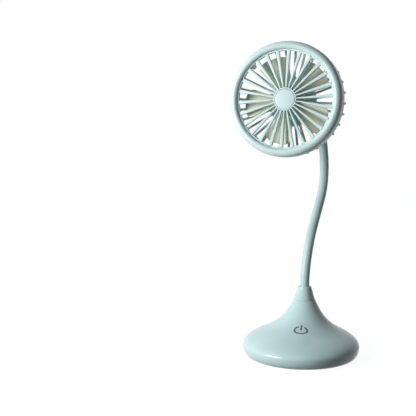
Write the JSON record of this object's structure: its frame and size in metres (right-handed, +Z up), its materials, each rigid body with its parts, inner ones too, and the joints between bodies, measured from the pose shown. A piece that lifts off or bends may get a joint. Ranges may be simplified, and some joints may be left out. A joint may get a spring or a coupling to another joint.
{
  "type": "rechargeable mini desk fan",
  "caption": "Small desk fan: a round caged head on a bendable neck over a bell-shaped base with a touch switch and a rechargeable cell.",
  "frame": {"origin": "on the table under the middle of the base's round outline", "axes": "+Z up, -Y towards the base's front where the power mark is, +X to the right as seen from the front"},
  "size_m": [0.1371, 0.1537, 0.3195],
  "materials": {
    "head_shell": "satin, moulded in pale mint",
    "base_shell": "satin, moulded in pale mint",
    "blades": "satin, warm grey",
    "mark": "printed dark grey",
    "neck_sleeve": "soft silicone in the shell's colour",
    "neck_core": "wound spring steel",
    "wires": "insulated copper",
    "plated_fittings": "zinc plated",
    "motor_steel": "drawn steel",
    "motor_bell": "black moulding",
    "bushes": "sintered bronze",
    "magnets": "pressed ferrite",
    "armature": "steel stack with copper windings",
    "screws": "zinc plated",
    "touch_foil": "copper foil",
    "foot_pad": "soft dark pad",
    "weight": "punched steel disc",
    "cell_wrap": "shrink wrapped steel can",
    "cradle": "pale moulding",
    "board": "green board",
    "components": "moulded electronic parts",
    "socket": "bright steel",
    "light_guide": "milky clear"
  },
  "bodies": {
    "base": {"base_shell": "base_shell", "neck_collar": "base_shell", "power_icon": "mark", "touch_pad": "touch_foil", "touch_lead": "wires", "bottom_cover": "base_shell", "foot_pad": "foot_pad", "cover_screws": "screws", "counterweight": "weight", "battery_cell": "cell_wrap", "battery_cradle": "cradle", "battery_leads": "wires", "circuit_board": "board", "board_screws": "screws", "board_components": "components", "charging_socket": "socket", "charge_light": "light_guide", "base_wires": "wires", "bottom_ferrule": "plated_fittings", "bottom_ferrule_nut": "plated_fittings", "ferrule_washer": "plated_fittings", "neck_core_1": "neck_core", "neck_sleeve_1": "neck_sleeve", "neck_wires_1": "wires"},
    "neck_link_1": {"neck_core_2": "neck_core", "neck_sleeve_2": "neck_sleeve", "neck_wires_2": "wires"},
    "neck_link_2": {"neck_core_3": "neck_core", "neck_sleeve_3": "neck_sleeve", "neck_wires_3": "wires"},
    "neck_link_3": {"neck_core_4": "neck_core", "neck_sleeve_4": "neck_sleeve", "neck_wires_4": "wires"},
    "neck_link_4": {"neck_core_5": "neck_core", "neck_sleeve_5": "neck_sleeve", "neck_wires_5": "wires"},
    "neck_link_5": {"neck_core_6": "neck_core", "neck_sleeve_6": "neck_sleeve", "neck_wires_6": "wires"},
    "head": {"front_grille": "head_shell", "hub_cap": "head_shell", "rear_housing": "head_shell", "grille_screws": "screws", "rear_cap": "head_shell", "cap_screws": "screws", "motor_can": "motor_steel", "motor_end_bell": "motor_bell", "motor_bushes": "bushes", "motor_magnets": "magnets", "motor_screws": "screws", "motor_leads": "wires", "top_ferrule": "plated_fittings", "top_ferrule_nut": "plated_fittings", "neck_core_7": "neck_core"},
    "rotor": {"fan_rotor": "blades", "motor_shaft": "motor_steel", "motor_armature": "armature"}
  },
  "joints": [
    {"name": "neck_bend_1", "type": "hinge", "parent": "base", "child": "neck_link_1", "pos_m": [0.00034, 0.01956, 0.08746], "axis": [0.9993, -0.0102, -0.0355], "range_deg": [-35, 35], "deforming": ["neck_sleeve_1", "neck_wires_1"]},
    {"name": "neck_bend_2", "type": "hinge", "parent": "neck_link_1", "child": "neck_link_2", "pos_m": [0.00273, 0.03737, 0.12222], "axis": [0, 0.7957, -0.6057], "range_deg": [-35, 35], "deforming": ["neck_sleeve_2", "neck_wires_2"]},
    {"name": "neck_bend_3", "type": "hinge", "parent": "neck_link_2", "child": "neck_link_3", "pos_m": [0.00644, 0.06266, 0.15209], "axis": [0.9945, -0.0665, -0.0812], "range_deg": [-35, 35], "deforming": ["neck_sleeve_3", "neck_wires_3"]},
    {"name": "neck_bend_4", "type": "hinge", "parent": "neck_link_3", "child": "neck_link_4", "pos_m": [0.007, 0.08365, 0.18511], "axis": [0, 0.9267, -0.3757], "range_deg": [-35, 35], "deforming": ["neck_sleeve_4", "neck_wires_4"]},
    {"name": "neck_bend_5", "type": "hinge", "parent": "neck_link_4", "child": "neck_link_5", "pos_m": [0.00108, 0.0873, 0.22305], "axis": [0.9532, -0.0847, 0.2903], "range_deg": [-40, 30], "deforming": ["neck_sleeve_5", "neck_wires_5"]},
    {"name": "neck_bend_6", "type": "hinge", "parent": "neck_link_5", "child": "head", "pos_m": [-0.01226, 0.06413, 0.25022], "axis": [0, 0.4062, 0.9138], "range_deg": [-45, 45], "deforming": ["neck_sleeve_6", "neck_wires_6"]},
    {"name": "fan_spin", "type": "hinge", "parent": "head", "child": "rotor", "pos_m": [-0.0195, -0.0024, 0.2621], "axis": [-0.0555, -0.9919, 0.1144], "continuous": true}
  ]
}
